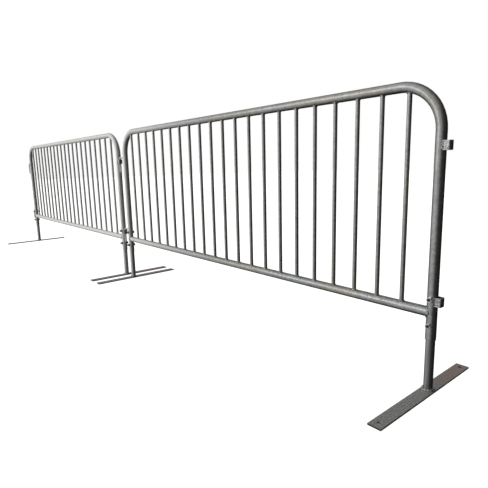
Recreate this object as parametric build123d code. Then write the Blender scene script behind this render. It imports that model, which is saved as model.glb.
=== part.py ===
from build123d import *
import os

# A crowd control barrier run: two identical steel sections, hooked end to end.
# Millimetres. +X runs along the barrier, +Z is up, and the nuts are on the -Y side.
# One section is drawn in its own frame: left leg axis at X = 0, panel plane at Y = 0,
# ground at Z = 0. Its hooks are on the left leg and its eyes on the right leg.

# Panel
LEG_SPACING = 2400.0      # leg axis to leg axis
TOP_RAIL_Z = 1100.0       # axis of the top rail
BOTTOM_RAIL_Z = 305.0     # axis of the bottom rail
CORNER_R = 155.0          # centreline radius of the two top corners
LEG_END_Z = 203.0         # open lower end of each leg
TUBE_D = 38.1             # bent frame tube
TUBE_WALL = 1.65
RAIL_D = 38.1             # bottom rail
RAIL_WALL = 1.65
PICKET_COUNT = 21
PICKET_D = 17.1
PICKET_WALL = 1.65
END_GAP = 120.0           # leg axis to the first picket's axis

# Removable feet
PLATE_LENGTH = 640.0
PLATE_WIDTH = 50.8
PLATE_THICKNESS = 6.35
PLATE_SHIFT = 30.0        # the plate's middle stands this far from its post's axis
ANCHOR_HOLE_D = 12.0
ANCHOR_HOLE_INSET = 27.0  # hole centre from the plate's end
POST_D = 33.4             # post that slides up inside the leg
POST_WALL = 3.4
POST_ABOVE_BOLT = 38.0    # post top above the upper bolt
WELD_LEG = 7.0            # fillet weld round the post's base

# Bolts that hold each post in its leg
LOWER_BOLT_Z = 259.0
UPPER_BOLT_Z = 357.0
BOLT_D = 10.0
BOLT_HOLE_D = 11.0
BOLT_PROUD = 5.5          # bolt end beyond the nut
HEX_ACROSS_FLATS = 17.0
HEAD_THICKNESS = 6.4
NUT_THICKNESS = 8.4
NUT_BORE_D = 10.1
WASHER_D = 20.0
WASHER_BORE_D = 10.5
WASHER_THICKNESS = 2.0

# Couplings
UPPER_EYE_DROP = 52.0     # end of the corner's bend down to the middle of the upper eye
LOWER_EYE_Z = 349.0       # middle of the lower eye
EYE_HEIGHT = 33.0
EYE_WIDTH = 30.0          # across the panel, outside the strap
EYE_STRAP = 4.0           # thickness of the flat strap that the eye is bent from
EYE_BEND_R = 5.0          # outer radius of the eye's two bends
HOOK_BAR_D = 12.0         # round bar that the hook is bent from
HOOK_PLAY = 1.1           # room on each side of the prong, leg to leg, in an eye
HOOK_REACH = 96.0         # leg axis to prong axis
HOOK_BEND_R = 14.0        # centreline radius of the hook's elbow
HOOK_OVER_EYE = 6.0       # gap between the eye's top edge and the hook's arm
PRONG_DROP = 110.0        # arm axis down to the prong's tip
PRONG_TIP = 3.0           # chamfer on the tip

EDGE_BREAK = 0.5          # small chamfer on sawn ends
HEX_CHAMFER = 1.0

# Worked out from the above
TUBE_R = TUBE_D / 2
EYE_GAP = HOOK_BAR_D + 2 * HOOK_PLAY
PRONG_IN_EYE = TUBE_R + EYE_GAP / 2
EYE_REACH = TUBE_R + EYE_GAP + EYE_STRAP
LINK_PITCH = HOOK_REACH + PRONG_IN_EYE
PITCH = (LEG_SPACING - 2 * END_GAP) / (PICKET_COUNT - 1)
UPPER_EYE_Z = TOP_RAIL_Z - CORNER_R - UPPER_EYE_DROP
POST_TOP_Z = UPPER_BOLT_Z + POST_ABOVE_BOLT
HEX_CORNER_R = HEX_ACROSS_FLATS / 3 ** 0.5
RUN_LOW_X = -(LINK_PITCH + LEG_SPACING + HOOK_REACH + HOOK_BAR_D / 2)
RUN_HIGH_X = LEG_SPACING + EYE_REACH
NEAR_X = -(RUN_LOW_X + RUN_HIGH_X) / 2
FAR_X = NEAR_X - LINK_PITCH - LEG_SPACING


def upright(x, y, low, high, radius):
    """A round bar standing from low to high."""
    return Pos(x, y, (low + high) / 2) * Cylinder(radius, high - low)


def crosswise(x, z, front, back, radius):
    """A round bar lying along Y, from front to back."""
    return Pos(x, (front + back) / 2, z) * Rot(90, 0, 0) * Cylinder(radius, back - front)


def bolt_places():
    return [(x, z) for x in (0, LEG_SPACING) for z in (LOWER_BOLT_Z, UPPER_BOLT_Z)]


def frame_blank(radius):
    """The bent frame as a solid bar: left leg, top rail and right leg in one piece."""
    path = FilletPolyline(
        (0, 0, LEG_END_Z),
        (0, 0, TOP_RAIL_Z),
        (LEG_SPACING, 0, TOP_RAIL_Z),
        (LEG_SPACING, 0, LEG_END_Z),
        radius=CORNER_R,
    )
    return sweep(Pos(0, 0, LEG_END_Z) * Circle(radius), path=path)


def frame_tube(outside):
    tube = outside - frame_blank(TUBE_R - TUBE_WALL)
    for x, z in bolt_places():
        tube -= crosswise(x, z, -TUBE_D, TUBE_D, BOLT_HOLE_D / 2)
    return tube


def bottom_rail(outside):
    """Straight tube whose ends are cut to the round of the legs."""
    lying = Pos(LEG_SPACING / 2, 0, BOTTOM_RAIL_Z) * Rot(0, 90, 0)
    rail = lying * (Cylinder(RAIL_D / 2, LEG_SPACING) - Cylinder(RAIL_D / 2 - RAIL_WALL, LEG_SPACING))
    return rail - outside


def picket(index, outside, rail_bar):
    """Upright tube, cut at both ends to the round of the rails."""
    x = END_GAP + index * PITCH
    tube = upright(x, 0, BOTTOM_RAIL_Z, TOP_RAIL_Z, PICKET_D / 2)
    tube -= upright(x, 0, BOTTOM_RAIL_Z, TOP_RAIL_Z, PICKET_D / 2 - PICKET_WALL)
    return tube - outside - rail_bar


def eye(middle_z):
    """Flat strap bent to a U, with its open side against the right leg."""
    outer = Pos(EYE_REACH / 2, 0, 0) * Box(EYE_REACH, EYE_WIDTH, EYE_HEIGHT)
    far_edges = outer.edges().filter_by(Axis.Z).group_by(Axis.X)[-1]
    outer = fillet(far_edges, EYE_BEND_R)
    inner_reach = EYE_REACH - EYE_STRAP
    inner = Pos(inner_reach / 2, 0, 0) * Box(inner_reach, EYE_WIDTH - 2 * EYE_STRAP, EYE_HEIGHT)
    far_edges = inner.edges().filter_by(Axis.Z).group_by(Axis.X)[-1]
    inner = fillet(far_edges, EYE_BEND_R - EYE_STRAP)
    strap = outer - inner - Cylinder(TUBE_R, EYE_HEIGHT)
    return Pos(LEG_SPACING, 0, middle_z) * strap


def hook(eye_z):
    """Round bar: an arm out from the left leg, an elbow, and a prong that drops into an eye."""
    arm_z = eye_z + EYE_HEIGHT / 2 + HOOK_OVER_EYE + HOOK_BAR_D / 2
    path = FilletPolyline(
        (0, 0, arm_z),
        (-HOOK_REACH, 0, arm_z),
        (-HOOK_REACH, 0, arm_z - PRONG_DROP),
        radius=HOOK_BEND_R,
    )
    start = Plane(origin=(0, 0, arm_z), z_dir=(-1, 0, 0))
    bar = sweep(start * Circle(HOOK_BAR_D / 2), path=path)
    bar = chamfer(bar.edges().group_by(Axis.Z)[0], PRONG_TIP)
    return bar - upright(0, 0, arm_z - TUBE_D, arm_z + TUBE_D, TUBE_R)


def foot_plate(x, middle_y):
    plate = Pos(x, middle_y, PLATE_THICKNESS / 2) * Box(PLATE_WIDTH, PLATE_LENGTH, PLATE_THICKNESS)
    plate = chamfer(plate.edges().filter_by(Axis.Z), EDGE_BREAK)
    hole_y = PLATE_LENGTH / 2 - ANCHOR_HOLE_INSET
    for y in (middle_y - hole_y, middle_y + hole_y):
        plate -= upright(x, y, 0, PLATE_THICKNESS, ANCHOR_HOLE_D / 2)
    return plate


def post(x):
    tube = upright(x, 0, PLATE_THICKNESS, POST_TOP_Z, POST_D / 2)
    tube = chamfer(tube.edges().group_by(Axis.Z)[-1], EDGE_BREAK)
    tube -= upright(x, 0, PLATE_THICKNESS, POST_TOP_Z, POST_D / 2 - POST_WALL)
    for z in (LOWER_BOLT_Z, UPPER_BOLT_Z):
        tube -= crosswise(x, z, -POST_D, POST_D, BOLT_HOLE_D / 2)
    return tube


def post_weld(x):
    """Fillet weld that joins the post to its plate."""
    top = POST_D / 2 + EDGE_BREAK
    ring = Cone(POST_D / 2 + WELD_LEG, top, WELD_LEG) - Cylinder(POST_D / 2, WELD_LEG)
    return Pos(x, 0, PLATE_THICKNESS + WELD_LEG / 2) * ring


def hexagon(x, z, front, back, rounded_front):
    """Hexagonal bar along Y, with the corners of its outer end taken off."""
    thickness = back - front
    bar = extrude(RegularPolygon(HEX_ACROSS_FLATS / 2, 6, major_radius=False), thickness)
    turned = Cylinder(HEX_CORNER_R, thickness, align=(Align.CENTER, Align.CENTER, Align.MIN))
    turned = chamfer(turned.edges().group_by(Axis.Z)[-1], HEX_CHAMFER)
    bar &= turned
    if rounded_front:
        return Pos(x, back, z) * Rot(90, 0, 0) * bar
    return Pos(x, front, z) * Rot(-90, 0, 0) * bar


def bolt(x, z):
    """Hexagon bolt through leg and post: head behind, threaded end in front."""
    seat = TUBE_R + WASHER_THICKNESS
    tip = -(seat + NUT_THICKNESS + BOLT_PROUD)
    shank = crosswise(x, z, tip, seat, BOLT_D / 2)
    shank = chamfer(shank.edges().group_by(Axis.Y)[0], HEX_CHAMFER)
    return shank + hexagon(x, z, seat, seat + HEAD_THICKNESS, False)


def nut(x, z):
    seat = -(TUBE_R + WASHER_THICKNESS)
    blank = hexagon(x, z, seat - NUT_THICKNESS, seat, True)
    return blank - crosswise(x, z, seat - NUT_THICKNESS, seat, NUT_BORE_D / 2)


def washer(x, z, side):
    faces = sorted((side * TUBE_R, side * (TUBE_R + WASHER_THICKNESS)))
    return crosswise(x, z, *faces, WASHER_D / 2) - crosswise(x, z, *faces, WASHER_BORE_D / 2)


def panel():
    """The welded part of a section. Its pickets are a list, from left to right."""
    outside = frame_blank(TUBE_R)
    rail_bar = Pos(LEG_SPACING / 2, 0, BOTTOM_RAIL_Z) * Rot(0, 90, 0) * Cylinder(RAIL_D / 2, LEG_SPACING)
    pieces = {
        "frame_tube": frame_tube(outside),
        "bottom_rail": bottom_rail(outside),
        "upper_eye": eye(UPPER_EYE_Z),
        "lower_eye": eye(LOWER_EYE_Z),
        "upper_hook": hook(UPPER_EYE_Z),
        "lower_hook": hook(LOWER_EYE_Z),
    }
    return pieces, [picket(index, outside, rail_bar) for index in range(PICKET_COUNT)]


def feet(turned_side):
    """Both feet of a section and the fasteners that hold them.

    The feet are alike. Each has its longer half in front, except the one on the turned side,
    which is bolted in the other way round.
    """
    pieces = {}
    for side, x in (("left", 0), ("right", LEG_SPACING)):
        middle_y = PLATE_SHIFT if side == turned_side else -PLATE_SHIFT
        pieces[f"{side}_foot_plate"] = foot_plate(x, middle_y)
        pieces[f"{side}_post"] = post(x)
        pieces[f"{side}_post_weld"] = post_weld(x)
    pieces["bolts"] = [bolt(x, z) for x, z in bolt_places()]
    pieces["nuts"] = [nut(x, z) for x, z in bolt_places()]
    pieces["washers"] = [washer(x, z, side) for x, z in bolt_places() for side in (-1, 1)]
    return pieces


def write(name, shape, place):
    """One STEP file for a piece, or for a group of identical pieces."""
    if isinstance(shape, list):
        shape = Compound([solid for item in shape for solid in item.solids()])
    export_step(place * shape, f"parts/{name}.step")


def main():
    os.makedirs("parts", exist_ok=True)
    welded, pickets = panel()
    for section, x, linked_side in (("near", NEAR_X, "left"), ("far", FAR_X, "right")):
        for name, shape in {**welded, **feet(linked_side)}.items():
            write(f"{section}_{name}", shape, Pos(x, 0, 0))
    for number, shape in enumerate(pickets, start=1):
        write(f"near_picket_{number:02d}", shape, Pos(NEAR_X, 0, 0))
    write("far_pickets", pickets, Pos(FAR_X, 0, 0))
    print("link pitch", round(LINK_PITCH, 2), "picket pitch", round(PITCH, 2), "near section at", NEAR_X)


main()
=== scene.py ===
# %% [markdown]
# A crowd control barrier: two steel picket sections, hooked end to end on flat bolted feet.
# Everything that has a size or moves comes in as a fixed frame of CAD nodes, in metres.
# This lesson gives those nodes the look of weathered zinc, and adds what CAD leaves plain:
# the weld metal at every joint and the threads of the bolts.

# %% Load the frame
import bmesh
import bpy
import math
import random
from mathutils import Matrix, Vector


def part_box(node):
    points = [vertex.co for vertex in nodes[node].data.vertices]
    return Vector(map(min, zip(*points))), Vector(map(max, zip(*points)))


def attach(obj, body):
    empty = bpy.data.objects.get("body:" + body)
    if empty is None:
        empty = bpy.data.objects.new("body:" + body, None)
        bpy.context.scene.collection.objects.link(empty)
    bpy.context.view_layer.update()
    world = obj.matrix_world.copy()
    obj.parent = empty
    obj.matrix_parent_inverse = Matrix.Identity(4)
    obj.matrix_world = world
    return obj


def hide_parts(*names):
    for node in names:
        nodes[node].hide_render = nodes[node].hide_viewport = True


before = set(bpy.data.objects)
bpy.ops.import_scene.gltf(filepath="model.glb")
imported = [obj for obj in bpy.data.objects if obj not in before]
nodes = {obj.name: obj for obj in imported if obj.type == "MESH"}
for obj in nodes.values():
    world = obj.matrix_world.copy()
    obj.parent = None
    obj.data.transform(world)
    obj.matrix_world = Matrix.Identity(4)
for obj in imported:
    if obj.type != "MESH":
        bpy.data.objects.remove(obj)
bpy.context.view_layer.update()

# %% [markdown]
# Every place in this lesson is read from the boxes of the CAD nodes: where the legs stand, how
# high the rails lie and how thick each tube is. Typing the numbers again would be quicker, but a
# changed size would then leave the weld beads hanging in the air.

# %% Places and sizes, read from the frame
SECTIONS = ("near", "far")


def middle(node):
    low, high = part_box(node)
    return (low + high) / 2


def thickness(node, axis):
    low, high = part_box(node)
    return high[axis] - low[axis]


LEG_X = {s: (middle(f"{s}_left_post").x, middle(f"{s}_right_post").x) for s in SECTIONS}
TUBE_R = thickness("near_frame_tube", 1) / 2
RAIL_R = thickness("near_bottom_rail", 1) / 2
RAIL_Z = middle("near_bottom_rail").z
PICKET_R = thickness("near_picket_01", 1) / 2
POST_R = thickness("near_left_post", 1) / 2
HOOK_R = thickness("near_upper_hook", 1) / 2
PLATE_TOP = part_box("near_left_foot_plate")[1].z
FIRST_PICKETS = [name for name in sorted(nodes) if name.startswith("near_picket")]
FAR_SHIFT = LEG_X["far"][0] - LEG_X["near"][0]
SHIFT = {"near": 0.0, "far": FAR_SHIFT}
print("leg radius", round(TUBE_R * 1000, 2), "mm, rail height", round(RAIL_Z * 1000, 1), "mm")
print("pickets in a section:", len(FIRST_PICKETS), "far section stands", round(FAR_SHIFT, 4), "m away")

# %% [markdown]
# The camera stands just beyond the right-hand leg of the near section, low and close, so the run
# shrinks quickly towards its far end. Its place is counted from the foot of that leg.

# %% Camera
CAMERA_FROM_LEG = Vector((0.7204, -1.4810, 0.8431))
CAMERA_TURN = (math.radians(79.79), math.radians(1.40), math.radians(49.73))
LENS_MM = 32.25
SENSOR_MM = 36.0

camera_data = bpy.data.cameras.new("camera")
camera_data.lens = LENS_MM
camera_data.sensor_width = SENSOR_MM
camera_data.clip_end = 200
camera = bpy.data.objects.new("camera", camera_data)
bpy.context.scene.collection.objects.link(camera)
camera.location = Vector((LEG_X["near"][1], 0, 0)) + CAMERA_FROM_LEG
camera.rotation_euler = CAMERA_TURN
bpy.context.scene.camera = camera
bpy.context.scene.view_settings.view_transform = "Standard"
print("camera at", [round(v, 3) for v in camera.location])

# %% [markdown]
# Every material is a small graph of nodes. One function adds a node, sets its options and either
# fills or links its inputs. One more turns the sRGB hex colours people write into linear light,
# and a third starts an empty material. Object coordinates are used throughout, because every piece
# here sits at the origin: the patterns then run in metres over the whole barrier.


# %% Helpers for materials
def add_node(tree, kind, inputs=None, **options):
    node = tree.nodes.new(kind)
    for name, value in options.items():
        setattr(node, name, value)
    for name, value in (inputs or {}).items():
        if isinstance(value, bpy.types.NodeSocket):
            tree.links.new(value, node.inputs[name])
        else:
            node.inputs[name].default_value = value
    return node


def linear(hex_colour):
    """An sRGB colour such as "8f9190", as linear red, green, blue and alpha."""
    channels = [int(hex_colour[i:i + 2], 16) / 255 for i in (0, 2, 4)]
    return [c / 12.92 if c <= 0.04045 else ((c + 0.055) / 1.055) ** 2.4 for c in channels] + [1.0]


def new_material(name):
    """An empty material with a Principled shader, and the frame's own coordinates in metres."""
    material = bpy.data.materials.new(name)
    material.use_nodes = True
    tree = material.node_tree
    tree.nodes.clear()
    shader = add_node(tree, "ShaderNodeBsdfPrincipled")
    add_node(tree, "ShaderNodeOutputMaterial", {"Surface": shader.outputs["BSDF"]})
    place = add_node(tree, "ShaderNodeTexCoord").outputs["Object"]
    return material, tree, shader, place


print("sRGB 808080 in linear light:", [round(channel, 3) for channel in linear("808080")[:3]])

# %% [markdown]
# Bare metal shows its surroundings more than its own colour, so the light is the sky itself. One
# broad soft key light stands to the front and left, with a small bright glow inside it, and almost
# nothing to the right: that gives each round tube a pale left side and a dark right side. A weak
# light from above, a trace of fill at the right and a light from behind keep the other sides from
# going black. Area lamps could do it, but a sky that depends only on direction lights both ends of
# a five-metre run alike. The camera sees plain white.

# %% Studio light
world = bpy.data.worlds.new("studio")
bpy.context.scene.world = world
world.use_nodes = True
sky = world.node_tree
sky.nodes.clear()
direction = add_node(sky, "ShaderNodeTexCoord").outputs["Generated"]


def soft_light(azimuth, elevation, edge, core, strength):
    """A round soft light at infinity. It fades from its core's angle out to its edge's, in degrees."""
    a, e = math.radians(azimuth), math.radians(elevation)
    centre = (math.cos(e) * math.cos(a), math.cos(e) * math.sin(a), math.sin(e))
    closeness = add_node(sky, "ShaderNodeVectorMath", {0: direction, 1: centre}, operation="DOT_PRODUCT")
    fade = {
        "Value": closeness.outputs["Value"],
        "From Min": math.cos(math.radians(edge)),
        "From Max": math.cos(math.radians(core)),
        "To Min": 0.0,
        "To Max": strength,
    }
    return add_node(sky, "ShaderNodeMapRange", fade, interpolation_type="SMOOTHSTEP").outputs["Result"]


# azimuth, elevation, edge, core, strength
KEY_LIGHT = (-126, 18, 95, 12, 0.76)
HORIZON_GLOW = (-126, 16, 22, 5, 1.3)
TOP_LIGHT = (-60, 80, 60, 20, 0.15)
SIDE_FILL = (-18, 8, 55, 10, 0.03)
BACK_LIGHT = (122, 16, 46, 12, 0.34)
SKY_LEVEL = 0.015

LIGHTS = (KEY_LIGHT, HORIZON_GLOW, TOP_LIGHT, SIDE_FILL, BACK_LIGHT)

level = SKY_LEVEL
for light in LIGHTS:
    level = add_node(sky, "ShaderNodeMath", {0: soft_light(*light), 1: level}, operation="ADD").outputs[0]
lit = add_node(sky, "ShaderNodeBackground", {"Color": linear("ffffff"), "Strength": level})
plain = add_node(sky, "ShaderNodeBackground", {"Color": linear("ffffff"), "Strength": 1.0})
seen = add_node(sky, "ShaderNodeLightPath").outputs["Is Camera Ray"]
mixed = add_node(sky, "ShaderNodeMixShader", {0: seen, 1: lit.outputs[0], 2: plain.outputs[0]})
add_node(sky, "ShaderNodeOutputWorld", {"Surface": mixed.outputs[0]})
print("lights in the sky:", len(LIGHTS))

# %% [markdown]
# The floor is a sheet of white studio paper. It glows a little, so it stays white under a dim sky
# and keeps only a faint shadow where the feet touch it. The steel doesn't see it: zinc under open
# sky is dark below, because the ground it reflects is dark.

# %% Floor
FLOOR_HALF = 40.0
FIBRE_SCALE = 900.0  # per metre, so clumps of fibre about 1.1 mm wide
FLOOR_GLOW = 0.86
paper, tree, shader, place = new_material("white studio paper")
fibres = add_node(tree, "ShaderNodeTexNoise", {"Vector": place, "Scale": FIBRE_SCALE, "Detail": 2.0})
paper_tone = add_node(
    tree,
    "ShaderNodeMix",
    {0: fibres.outputs["Fac"], 6: linear("f4f4f2"), 7: linear("fbfbfa")},
    data_type="RGBA",
)
tree.links.new(paper_tone.outputs[2], shader.inputs["Base Color"])
shader.inputs["Roughness"].default_value = 0.9
shader.inputs["Emission Color"].default_value = linear("ffffff")
shader.inputs["Emission Strength"].default_value = FLOOR_GLOW

floor_mesh = bmesh.new()
bmesh.ops.create_grid(floor_mesh, x_segments=1, y_segments=1, size=FLOOR_HALF)
floor_data = bpy.data.meshes.new("floor")
floor_mesh.to_mesh(floor_data)
floor_mesh.free()
floor_data.materials.append(paper)
floor = bpy.data.objects.new("floor", floor_data)
bpy.context.scene.collection.objects.link(floor)
floor.visible_diffuse = False
floor.visible_glossy = False
print("floor half size", FLOOR_HALF, "m")

# %% [markdown]
# Fresh zinc is pale and matte. Handling and rain polish it darker, and the two sections haven't
# aged alike: the far one, and the near one's linked end, are still matte. Their near-white colour
# is painted light, for the light that falls on them from close by. A Map Range on X fades from one
# to the other, so no join shows on a rail.


# %% Pale bloom and painted light
LIGHT_AND_BLOOM_STARTS_X = LEG_X["near"][0] + 1.3  # metres along the near section from its linked leg
LIGHT_AND_BLOOM_FULL_X = LEG_X["far"][1] - 0.3
BLOOM_ROUGHNESS = 0.56


def painted_light_and_bloom(tree, place):
    """0 where the zinc is polished dark, 1 where it is matte and painted pale as painted light."""
    along = add_node(tree, "ShaderNodeSeparateXYZ", {"Vector": place}).outputs["X"]
    fade = {"Value": along, "From Min": LIGHT_AND_BLOOM_STARTS_X, "From Max": LIGHT_AND_BLOOM_FULL_X}
    return add_node(tree, "ShaderNodeMapRange", fade, interpolation_type="SMOOTHSTEP").outputs["Result"]


print("bloom fades in from x", round(LIGHT_AND_BLOOM_STARTS_X, 2), "m to", round(LIGHT_AND_BLOOM_FULL_X, 2), "m")

# %% [markdown]
# The tubes are mild steel, dipped in molten zinc. Zinc freezes in flat crystals about a
# centimetre wide, the spangle, which differ a little in brightness. Years outdoors turn it dull,
# warm in some stretches and cool in others, and grit speckles the lowest half metre. A Voronoi
# texture makes the crystals and noise does the rest. An image texture would need a picture of
# each tube, and would show its seams on a bend.


# %% Galvanised tube
def galvanised_tube():
    material, tree, shader, place = new_material("galvanised steel tube")
    spangle_mm = 11.0
    grain_mm = 4.5  # really under 1 mm: drawn coarser, so that it shows from two metres away
    patch_mm = 330.0
    crystals = add_node(tree, "ShaderNodeTexVoronoi", {"Vector": place, "Scale": 1000 / spangle_mm})
    crystal_tone = add_node(tree, "ShaderNodeSeparateColor", {"Color": crystals.outputs["Color"]})
    grain = add_node(tree, "ShaderNodeTexNoise", {"Vector": place, "Scale": 1000 / grain_mm, "Detail": 3.0})
    patches = add_node(
        tree,
        "ShaderNodeTexNoise",
        {"Vector": place, "Scale": 1000 / patch_mm, "Detail": 2.5},
    )
    warmth = add_node(
        tree,
        "ShaderNodeMapRange",
        {"Value": patches.outputs["Fac"], "From Min": 0.42, "From Max": 0.6},
        interpolation_type="SMOOTHSTEP",
    )
    zinc = add_node(
        tree,
        "ShaderNodeMix",
        {0: warmth.outputs["Result"], 6: linear("b0b2b2"), 7: linear("b6b3ac")},
        data_type="RGBA",
    )
    facets = add_node(
        tree,
        "ShaderNodeMix",
        {0: crystal_tone.outputs["Red"], 6: linear("e2e2e2"), 7: linear("ffffff")},
        data_type="RGBA",
    )
    spangled = add_node(
        tree,
        "ShaderNodeMix",
        {0: 1.0, 6: zinc.outputs[2], 7: facets.outputs[2]},
        data_type="RGBA",
        blend_type="MULTIPLY",
    )
    height = add_node(tree, "ShaderNodeSeparateXYZ", {"Vector": place}).outputs["Z"]
    low_down = add_node(
        tree,
        "ShaderNodeMapRange",
        {"Value": height, "From Min": 0.5, "From Max": 0.3, "To Min": 0.18, "To Max": 0.6},
    )
    specks = add_node(
        tree,
        "ShaderNodeMapRange",
        {"Value": grain.outputs["Fac"], "From Min": 0.5, "From Max": 0.66},
    )
    dirt = add_node(
        tree,
        "ShaderNodeMath",
        {0: specks.outputs["Result"], 1: low_down.outputs["Result"]},
        operation="MULTIPLY",
    )
    soiled = add_node(
        tree,
        "ShaderNodeMix",
        {0: dirt.outputs[0], 6: spangled.outputs[2], 7: linear("4d4a45")},
        data_type="RGBA",
    )
    # Painted light: along X the colour fades to near white, for the light falling on the far section.
    light_and_bloom = painted_light_and_bloom(tree, place)
    colour = add_node(
        tree,
        "ShaderNodeMix",
        {0: light_and_bloom, 6: soiled.outputs[2], 7: linear("ebeae7")},
        data_type="RGBA",
    )
    dullness = add_node(
        tree,
        "ShaderNodeMapRange",
        {"Value": patches.outputs["Fac"], "From Min": 0.3, "From Max": 0.7, "To Min": 0.24, "To Max": 0.36},
    )
    skin = add_node(
        tree,
        "ShaderNodeBump",
        {"Height": grain.outputs["Fac"], "Strength": 0.16, "Distance": 0.0006},
    )
    matte = add_node(
        tree,
        "ShaderNodeMix",
        {0: light_and_bloom, 2: dullness.outputs["Result"], 3: BLOOM_ROUGHNESS},
        data_type="FLOAT",
    )
    tree.links.new(colour.outputs[2], shader.inputs["Base Color"])
    tree.links.new(matte.outputs[0], shader.inputs["Roughness"])
    tree.links.new(skin.outputs["Normal"], shader.inputs["Normal"])
    shader.inputs["Metallic"].default_value = 0.92
    return material


TUBE = galvanised_tube()
print(TUBE.name, "shader nodes:", len(TUBE.node_tree.nodes))

# %% [markdown]
# The eyes are short pieces of flat bar, bent to a U. Their zinc is painted paler than the tubes',
# as painted light for the light that falls on their fronts, with a cloudy mottle of 7 mm and small
# dark pits. Two noise textures, one coarse and one fine, draw them. The zinc is a little less than
# fully metallic, so that its dull skin scatters some light instead of mirroring a dark sky.


# %% Galvanised flat strap
def galvanised_strap():
    material, tree, shader, place = new_material("galvanised flat strap")
    cloud_mm = 7.0
    pit_mm = 3.0
    clouds = add_node(
        tree,
        "ShaderNodeTexNoise",
        {"Vector": place, "Scale": 1000 / cloud_mm, "Detail": 4.0},
    )
    mottle = add_node(
        tree,
        "ShaderNodeMapRange",
        {"Value": clouds.outputs["Fac"], "From Min": 0.38, "From Max": 0.62},
    )
    # Painted light: both tones are paler than the tube's, for the light on the eyes' fronts.
    zinc = add_node(
        tree,
        "ShaderNodeMix",
        {0: mottle.outputs["Result"], 6: linear("8c8c89"), 7: linear("d6d6d3")},
        data_type="RGBA",
    )
    pits = add_node(tree, "ShaderNodeTexNoise", {"Vector": place, "Scale": 1000 / pit_mm, "Detail": 2.0})
    pitted = add_node(
        tree,
        "ShaderNodeMapRange",
        {"Value": pits.outputs["Fac"], "From Min": 0.58, "From Max": 0.7, "To Max": 0.7},
    )
    colour = add_node(
        tree,
        "ShaderNodeMix",
        {0: pitted.outputs["Result"], 6: zinc.outputs[2], 7: linear("4f4e4b")},
        data_type="RGBA",
    )
    skin = add_node(
        tree,
        "ShaderNodeBump",
        {"Height": pits.outputs["Fac"], "Strength": 0.3, "Distance": 0.0008},
    )
    tree.links.new(colour.outputs[2], shader.inputs["Base Color"])
    tree.links.new(skin.outputs["Normal"], shader.inputs["Normal"])
    shader.inputs["Roughness"].default_value = 0.42
    shader.inputs["Metallic"].default_value = 0.92
    return material


STRAP = galvanised_strap()
print(STRAP.name, "shader nodes:", len(STRAP.node_tree.nodes))

# %% [markdown]
# The posts are pipe that has slid in and out of the legs for years. The zinc is rubbed darker, in
# streaks that run up and down. Squeezing the noise along Z, with a Mapping node, draws them.


# %% Scuffed pipe
def scuffed_pipe():
    material, tree, shader, place = new_material("scuffed galvanised pipe")
    streak_width_mm = 5.0
    streak_length_mm = 130.0
    across = 1000 / streak_width_mm
    along = 1000 / streak_length_mm
    squeezed = add_node(tree, "ShaderNodeMapping", {"Vector": place, "Scale": (across, across, along)})
    streaks = add_node(
        tree,
        "ShaderNodeTexNoise",
        {"Vector": squeezed.outputs[0], "Scale": 1.0, "Detail": 4.0},
    )
    rubbed = add_node(
        tree,
        "ShaderNodeMapRange",
        {"Value": streaks.outputs["Fac"], "From Min": 0.36, "From Max": 0.64},
    )
    zinc = add_node(
        tree,
        "ShaderNodeMix",
        {0: rubbed.outputs["Result"], 6: linear("8a8a8a"), 7: linear("a8a8a6")},
        data_type="RGBA",
    )
    # Painted light: the pipe fades to near white too, for the same light.
    light_and_bloom = painted_light_and_bloom(tree, place)
    colour = add_node(
        tree,
        "ShaderNodeMix",
        {0: light_and_bloom, 6: zinc.outputs[2], 7: linear("e4e3e0")},
        data_type="RGBA",
    )
    dullness = add_node(
        tree,
        "ShaderNodeMapRange",
        {"Value": streaks.outputs["Fac"], "From Min": 0.3, "From Max": 0.7, "To Min": 0.46, "To Max": 0.3},
    )
    scratches = add_node(
        tree,
        "ShaderNodeBump",
        {"Height": streaks.outputs["Fac"], "Strength": 0.2, "Distance": 0.0005},
    )
    matte = add_node(
        tree,
        "ShaderNodeMix",
        {0: light_and_bloom, 2: dullness.outputs["Result"], 3: BLOOM_ROUGHNESS},
        data_type="FLOAT",
    )
    tree.links.new(colour.outputs[2], shader.inputs["Base Color"])
    tree.links.new(matte.outputs[0], shader.inputs["Roughness"])
    tree.links.new(scratches.outputs["Normal"], shader.inputs["Normal"])
    shader.inputs["Metallic"].default_value = 0.92
    return material


PIPE = scuffed_pipe()
print(PIPE.name, "shader nodes:", len(PIPE.node_tree.nodes))
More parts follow.
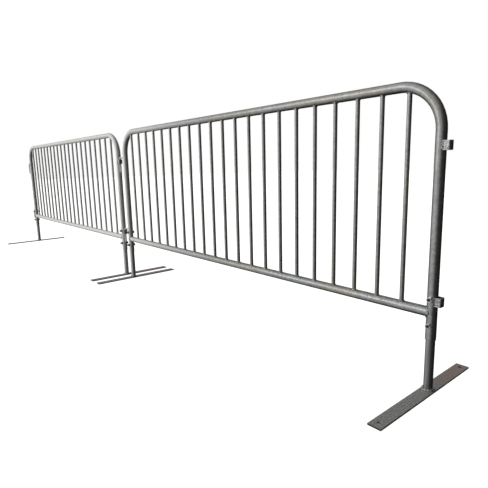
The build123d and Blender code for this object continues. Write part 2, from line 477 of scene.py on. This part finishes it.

# %% [markdown]
# The foot plates are flat bar that lies in wet and grit. Feet and wheels have dulled the zinc, and
# behind the panel, where nobody walks it clean, a thin brown rust shows through. The rust follows
# the Y coordinate, broken up by noise, so that it fades in instead of starting at a line. The
# narrow side faces are painted nearly black, as painted shade: the normal's Z tells them from the top.


# %% Worn flat bar
def worn_flat_bar():
    material, tree, shader, place = new_material("worn galvanised flat bar")
    grit_mm = 6.0
    stain_mm = 60.0
    grit = add_node(tree, "ShaderNodeTexNoise", {"Vector": place, "Scale": 1000 / grit_mm, "Detail": 4.0})
    stains = add_node(
        tree,
        "ShaderNodeTexNoise",
        {"Vector": place, "Scale": 1000 / stain_mm, "Detail": 5.0},
    )
    worn = add_node(
        tree,
        "ShaderNodeMapRange",
        {"Value": grit.outputs["Fac"], "From Min": 0.35, "From Max": 0.65},
    )
    zinc = add_node(
        tree,
        "ShaderNodeMix",
        {0: worn.outputs["Result"], 6: linear("8b8c89"), 7: linear("c6c7c4")},
        data_type="RGBA",
    )
    behind = add_node(tree, "ShaderNodeSeparateXYZ", {"Vector": place}).outputs["Y"]
    ragged = add_node(
        tree,
        "ShaderNodeMath",
        {0: stains.outputs["Fac"], 1: 0.34, 2: behind},
        operation="MULTIPLY_ADD",
    )
    rusty = add_node(
        tree,
        "ShaderNodeMapRange",
        {"Value": ragged.outputs[0], "From Min": 0.2, "From Max": 0.3, "To Max": 0.75},
        interpolation_type="SMOOTHSTEP",
    )
    colour = add_node(
        tree,
        "ShaderNodeMix",
        {0: rusty.outputs["Result"], 6: zinc.outputs[2], 7: linear("b59f96")},
        data_type="RGBA",
    )
    # Painted shade: faces that don't look up are mixed towards near black.
    facing = add_node(tree, "ShaderNodeNewGeometry").outputs["Normal"]
    upward = add_node(tree, "ShaderNodeSeparateXYZ", {"Vector": facing}).outputs["Z"]
    side_shade = add_node(
        tree,
        "ShaderNodeMapRange",
        {"Value": upward, "From Min": 0.6, "From Max": 0.2, "To Min": 0.0, "To Max": 0.9},
    )
    shaded_sides = add_node(
        tree,
        "ShaderNodeMix",
        {0: side_shade.outputs["Result"], 6: colour.outputs[2], 7: linear("24211e")},
        data_type="RGBA",
    )
    skin = add_node(
        tree,
        "ShaderNodeBump",
        {"Height": grit.outputs["Fac"], "Strength": 0.25, "Distance": 0.0006},
    )
    tree.links.new(shaded_sides.outputs[2], shader.inputs["Base Color"])
    tree.links.new(skin.outputs["Normal"], shader.inputs["Normal"])
    shader.inputs["Roughness"].default_value = 0.55
    shader.inputs["Metallic"].default_value = 0.5
    return material


FLAT_BAR = worn_flat_bar()
print(FLAT_BAR.name, "shader nodes:", len(FLAT_BAR.node_tree.nodes))

# %% [markdown]
# Weld metal comes out of the zinc bath brighter and rougher than the tubes. The hollows between its
# ripples are painted dark, as painted shade: the same noise darkens the hollows and dents them
# through a Bump node. The lumps themselves are real shapes, made further on.


# %% Weld metal
def weld_metal():
    material, tree, shader, place = new_material("galvanised weld metal")
    ripple_mm = 4.5
    ripples = add_node(
        tree,
        "ShaderNodeTexNoise",
        {"Vector": place, "Scale": 1000 / ripple_mm, "Detail": 3.0},
    )
    # Painted shade: where the noise is low the bump dents and the colour goes dark.
    shaded_hollows = add_node(
        tree,
        "ShaderNodeMapRange",
        {"Value": ripples.outputs["Fac"], "From Min": 0.4, "From Max": 0.62},
    )
    zinc = add_node(
        tree,
        "ShaderNodeMix",
        {0: shaded_hollows.outputs["Result"], 6: linear("55534f"), 7: linear("f4f4f0")},
        data_type="RGBA",
    )
    skin = add_node(
        tree,
        "ShaderNodeBump",
        {"Height": ripples.outputs["Fac"], "Strength": 0.7, "Distance": 0.001},
    )
    tree.links.new(zinc.outputs[2], shader.inputs["Base Color"])
    tree.links.new(skin.outputs["Normal"], shader.inputs["Normal"])
    shader.inputs["Roughness"].default_value = 0.3
    shader.inputs["Metallic"].default_value = 0.9
    return material


WELD = weld_metal()
print(WELD.name, "shader nodes:", len(WELD.node_tree.nodes))

# %% [markdown]
# Nuts and washers are electroplated with zinc. The plating is thin and smooth, so it shines
# more than the dipped tubes, and a film of dirt dulls it in blotches. One noise drives both the
# colour and the roughness, because grime changes the two together.


# %% Plated fasteners
def plated_zinc():
    material, tree, shader, place = new_material("electroplated zinc")
    blotch_mm = 6.0
    blotches = add_node(
        tree,
        "ShaderNodeTexNoise",
        {"Vector": place, "Scale": 1000 / blotch_mm, "Detail": 4.0},
    )
    grime = add_node(
        tree,
        "ShaderNodeMapRange",
        {"Value": blotches.outputs["Fac"], "From Min": 0.4, "From Max": 0.65},
    )
    zinc = add_node(
        tree,
        "ShaderNodeMix",
        {0: grime.outputs["Result"], 6: linear("e9eae8"), 7: linear("8f8d88")},
        data_type="RGBA",
    )
    dullness = add_node(
        tree,
        "ShaderNodeMapRange",
        {"Value": grime.outputs["Result"], "To Min": 0.22, "To Max": 0.45},
    )
    tree.links.new(zinc.outputs[2], shader.inputs["Base Color"])
    tree.links.new(dullness.outputs["Result"], shader.inputs["Roughness"])
    shader.inputs["Metallic"].default_value = 1.0
    return material


PLATED = plated_zinc()
print(PLATED.name, "shader nodes:", len(PLATED.node_tree.nodes))

# %% [markdown]
# The bolts stand out of the nuts where no plating lasts. They are painted nearly black, partly for
# old grease and rust and partly as painted shade, for the shadow that their tips stand in. A Wave
# texture along Y would draw the grooves of the thread, but they are real shapes here, so plain
# noise is enough.


# %% Greasy bolt steel, with painted shade
def greasy_shaded_steel():
    material, tree, shader, place = new_material("greasy bolt steel with painted shade")
    smear_mm = 2.5
    smears = add_node(
        tree,
        "ShaderNodeTexNoise",
        {"Vector": place, "Scale": 1000 / smear_mm, "Detail": 3.0},
    )
    # Painted shade as well as grease: both tones are nearly black.
    colour = add_node(
        tree,
        "ShaderNodeMix",
        {0: smears.outputs["Fac"], 6: linear("1d1b19"), 7: linear("5a5550")},
        data_type="RGBA",
    )
    tree.links.new(colour.outputs[2], shader.inputs["Base Color"])
    shader.inputs["Roughness"].default_value = 0.42
    shader.inputs["Metallic"].default_value = 0.85
    return material


GREASY_AND_SHADED = greasy_shaded_steel()
print(GREASY_AND_SHADED.name, "shader nodes:", len(GREASY_AND_SHADED.node_tree.nodes))

# %% [markdown]
# A CAD node keeps its shape and gets a better skin. Which one depends only on how its name ends:
# whatever has no entry in the table is tube. A list of all 52 names would say the same at length.

# %% Finishes on the CAD nodes
FINISH_BY_ENDING = {
    "_eye": STRAP,
    "_post": PIPE,
    "_foot_plate": FLAT_BAR,
    "_post_weld": WELD,
    "_bolts": GREASY_AND_SHADED,
    "_nuts": PLATED,
    "_washers": PLATED,
}
for name, node in nodes.items():
    finish = TUBE
    for ending, material in FINISH_BY_ENDING.items():
        if name.endswith(ending):
            finish = material
    node.data.materials.clear()
    node.data.materials.append(finish)
print("finishes:", len(set(FINISH_BY_ENDING.values())) + 1)

# %% [markdown]
# Weld metal is the detail that tells a made thing from a drawn one. Each joint has a bead laid
# along the seam between two pieces, in lumps that follow the welder's hand. A bead is a chain of
# small rings of vertices, one at each station along the seam, each a little thicker or thinner
# than the last, and bridged to the next. A curve with a bevel would be as quick, but its
# thickness is harder to make uneven.

# %% Weld beads
hand = random.Random(680)
BEAD_SIDES = 6
UNEVEN = 0.24
END_TAPER = 0.45


def stations_round(count, point_at):
    """Points round a closed seam, each with the direction that the seam runs in there."""
    step = 2 * math.pi / count
    stations = []
    for number in range(count):
        turn = number * step
        along = point_at(turn + step / 2) - point_at(turn - step / 2)
        stations.append((point_at(turn), along))
    return stations


def stations_along(count, start, end):
    """Points from start to end of a straight seam."""
    return [(start.lerp(end, number / (count - 1)), end - start) for number in range(count)]


def lay_bead(mesh, stations, radius, closed, uneven=UNEVEN):
    """Add one lumpy bead to the mesh. A bead that isn't closed tapers off at both ends."""
    rings = []
    last = len(stations) - 1
    for number, (point, along) in enumerate(stations):
        size = radius * (1 + hand.uniform(-uneven, uneven))
        is_end = not closed and number in (0, last)
        place = Matrix.Translation(point) @ along.to_track_quat("Z", "Y").to_matrix().to_4x4()
        ring = bmesh.ops.create_circle(
            mesh,
            cap_ends=is_end,
            segments=BEAD_SIDES,
            radius=size * (END_TAPER if is_end else 1.0),
            matrix=place,
        )
        rings.append(list({edge for vert in ring["verts"] for edge in vert.link_edges}))
    for ring, following in zip(rings, rings[1:] + (rings[:1] if closed else [])):
        bmesh.ops.bridge_loops(mesh, edges=ring + following)


def finish_piece(mesh, name, body, material, sharp_above=50):
    """Turn a bmesh into a piece that rides on a body. Edges sharper than the angle stay crisp."""
    bmesh.ops.recalc_face_normals(mesh, faces=mesh.faces)
    faces = len(mesh.faces)
    data = bpy.data.meshes.new(name)
    mesh.to_mesh(data)
    mesh.free()
    data.shade_smooth()
    data.set_sharp_from_angle(angle=math.radians(sharp_above))
    data.materials.append(material)
    piece = bpy.data.objects.new(name, data)
    bpy.context.scene.collection.objects.link(piece)
    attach(piece, body)
    print(name, "faces:", faces)
    return piece


# %% [markdown]
# A picket stands on a round rail, so the seam between them isn't flat: it dips on both sides like
# a saddle. Its height follows from the rail's radius, at each point of the circle.

# %% Picket welds
PICKET_BEAD = 0.0026  # half the thickness of a bead, in metres, as in the cells below
PICKET_STATIONS = 11


def saddle(centre, bar_radius, rail_radius, upward):
    """The seam of an upright bar on a level tube that runs along X. Centre is its lowest corner."""
    lowest = math.sqrt(rail_radius ** 2 - bar_radius ** 2)

    def point_at(turn):
        y = bar_radius * math.sin(turn)
        rise = math.sqrt(rail_radius ** 2 - y ** 2) - lowest
        return centre + Vector((bar_radius * math.cos(turn), y, rise * upward))

    return point_at


for section in SECTIONS:
    mesh = bmesh.new()
    for name in FIRST_PICKETS:
        low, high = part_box(name)
        x = middle(name).x + SHIFT[section]
        for z, upward in ((low.z, 1), (high.z, -1)):
            seam = saddle(Vector((x, 0, z)), PICKET_R, RAIL_R, upward)
            lay_bead(mesh, stations_round(PICKET_STATIONS, seam), PICKET_BEAD, True)
    finish_piece(mesh, f"{section}_picket_welds", f"{section}_section", WELD)

# %% [markdown]
# Where two tubes of one size meet at a right angle, the seam is a deep fish mouth. The bead at
# each end of the bottom rail runs round it, just outside both tubes.

# %% Rail and hook welds
RAIL_BEAD = 0.0034
HOOK_BEAD = 0.0028
ON_THE_SEAM = 1.03
SEAM_FLATTENING = 0.97
RAIL_STATIONS = 26
HOOK_STATIONS = 12


def fish_mouth(leg_x, outward, z, bar_radius):
    """The seam of a level bar along X against an upright leg."""

    def point_at(turn):
        y = bar_radius * math.sin(turn)
        reach = math.sqrt(max(TUBE_R ** 2 - (SEAM_FLATTENING * y) ** 2, 0))
        rise = bar_radius * ON_THE_SEAM * math.cos(turn)
        return Vector((leg_x + outward * reach, y * ON_THE_SEAM, z + rise))

    return point_at


for section in SECTIONS:
    left, right = LEG_X[section]
    mesh = bmesh.new()
    for leg_x, outward in ((left, 1), (right, -1)):
        seam = fish_mouth(leg_x, outward, RAIL_Z, RAIL_R)
        lay_bead(mesh, stations_round(RAIL_STATIONS, seam), RAIL_BEAD, True)
    finish_piece(mesh, f"{section}_rail_welds", f"{section}_section", WELD)

    mesh = bmesh.new()
    for hook in ("upper_hook", "lower_hook"):
        arm_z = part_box(f"{section}_{hook}")[1].z - HOOK_R
        seam = fish_mouth(left, -1, arm_z, HOOK_R)
        lay_bead(mesh, stations_round(HOOK_STATIONS, seam), HOOK_BEAD, True)
    finish_piece(mesh, f"{section}_hook_welds", f"{section}_section", WELD)

# %% [markdown]
# Each eye's strap ends against the flank of the leg, in front and behind. A short ragged bead runs
# down both of those seams.

# %% Eye welds
EYE_BEAD = 0.0042
EYE_STATIONS = 12

for section in SECTIONS:
    mesh = bmesh.new()
    leg_x = LEG_X[section][1]
    for eye in ("upper_eye", "lower_eye"):
        low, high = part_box(f"{section}_{eye}")
        for y in (low.y, high.y):
            x = leg_x + math.sqrt(TUBE_R ** 2 - y ** 2)
            bottom = Vector((x, y, low.z + EYE_BEAD / 2))
            top = Vector((x, y, high.z - EYE_BEAD / 2))
            lay_bead(mesh, stations_along(EYE_STATIONS, bottom, top), EYE_BEAD, False)
    finish_piece(mesh, f"{section}_eye_welds", f"{section}_section", WELD)

# %% [markdown]
# The fillet between post and plate carries every knock that the barrier takes, so it is laid in
# two passes: a fat one on the plate and a thinner one above it, up against the post. They take
# the place of CAD's plain cone.

# %% Post welds
LOWER_PASS = 0.0046
UPPER_PASS = 0.0034
POST_STATIONS = 22
POST_UNEVEN = 0.36
PASSES = (  # bead radius, distance from the post's axis, height
    (LOWER_PASS, POST_R + LOWER_PASS * 0.8, PLATE_TOP + LOWER_PASS * 0.45),
    (UPPER_PASS, POST_R + UPPER_PASS * 0.2, PLATE_TOP + LOWER_PASS * 1.15),
)


def level_ring(x, ring, z):
    """A level circle about an upright post."""

    def point_at(turn):
        return Vector((x + ring * math.cos(turn), ring * math.sin(turn), z))

    return point_at


for section in SECTIONS:
    for side, leg_x in zip(("left", "right"), LEG_X[section]):
        mesh = bmesh.new()
        for radius, ring, z in PASSES:
            seam = level_ring(leg_x, ring, z)
            lay_bead(mesh, stations_round(POST_STATIONS, seam), radius, True, POST_UNEVEN)
        name = f"{section}_{side}_post_weld_bead"
        bead = finish_piece(mesh, name, f"{section}_section", WELD)
        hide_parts(f"{section}_{side}_post_weld")

# %% [markdown]
# A bolt's thread catches the light in fine rings, so the plain CAD bolts are replaced. The outline
# of half a bolt, zigzag along its threaded end, is spun about the bolt's axis. The ridges are
# closed rings here: a real thread climbs, but at a pitch of 1.5 mm nobody sees that, and a helix
# would leave its two ends open.

# %% Threaded bolts
BOLT_R = 0.005
THREAD_PITCH = 0.0015
THREAD_DEPTH = 0.0008
TIP_BREAK = 0.001
HEAD_ACROSS_FLATS = 0.017
HEAD_BREAK = 0.0008
BOLT_STEPS = 24
SAME_VERTEX = 1e-6
BOLT_SHARP_ABOVE = 30  # degrees
washer_low, washer_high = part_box("near_washers")
washer_r = (washer_high.x - washer_low.x - (LEG_X["near"][1] - LEG_X["near"][0])) / 2
BOLT_ROWS = (washer_low.z + washer_r, washer_high.z - washer_r)
bolt_low, bolt_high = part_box("near_bolts")
NUT_INNER_FACE = washer_low.y
HEAD_SEAT = washer_high.y


def add_bolt(mesh, x, z):
    """A hexagon bolt along Y: threaded tip in front, head behind."""
    outline = [(bolt_low.y, 0.0), (bolt_low.y, BOLT_R - TIP_BREAK)]
    y = bolt_low.y + TIP_BREAK
    while y < NUT_INNER_FACE:
        outline.append((y, BOLT_R))
        outline.append((y + THREAD_PITCH / 2, BOLT_R - THREAD_DEPTH))
        y += THREAD_PITCH
    outline.append((y, BOLT_R))
    outline.append((HEAD_SEAT + TIP_BREAK, BOLT_R))
    outline.append((HEAD_SEAT + TIP_BREAK, 0.0))
    corners = [mesh.verts.new((x + r, along, z)) for along, r in outline]
    edges = [mesh.edges.new(pair) for pair in zip(corners, corners[1:])]
    bmesh.ops.spin(
        mesh,
        geom=corners + edges,
        cent=(x, 0, z),
        axis=(0, 1, 0),
        dvec=(0, 0, 0),
        angle=2 * math.pi,
        steps=BOLT_STEPS,
        use_merge=True,
    )

    depth = bolt_high.y - HEAD_SEAT
    seat = Matrix.Translation((x, HEAD_SEAT + depth / 2, z))
    head = bmesh.ops.create_cone(
        mesh,
        cap_ends=True,
        segments=6,
        radius1=HEAD_ACROSS_FLATS / math.sqrt(3),
        radius2=HEAD_ACROSS_FLATS / math.sqrt(3),
        depth=depth,
        matrix=seat @ Matrix.Rotation(math.radians(-90), 4, "X"),
    )
    edges = {edge for vert in head["verts"] for edge in vert.link_edges}
    outer = [edge for edge in edges if all(vert.co.y > bolt_high.y - depth / 2 for vert in edge.verts)]
    bmesh.ops.bevel(
        mesh,
        geom=outer,
        offset=HEAD_BREAK,
        affect="EDGES",
        segments=2,
        profile=0.5,
        material=-1,
    )


for section in SECTIONS:
    mesh = bmesh.new()
    for x in LEG_X[section]:
        for z in BOLT_ROWS:
            add_bolt(mesh, x, z)
    bmesh.ops.remove_doubles(mesh, verts=mesh.verts, dist=SAME_VERTEX)
    name = f"{section}_threaded_bolts"
    body = f"{section}_section"
    bolts = finish_piece(mesh, name, body, GREASY_AND_SHADED, BOLT_SHARP_ABOVE)
    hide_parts(f"{section}_bolts")
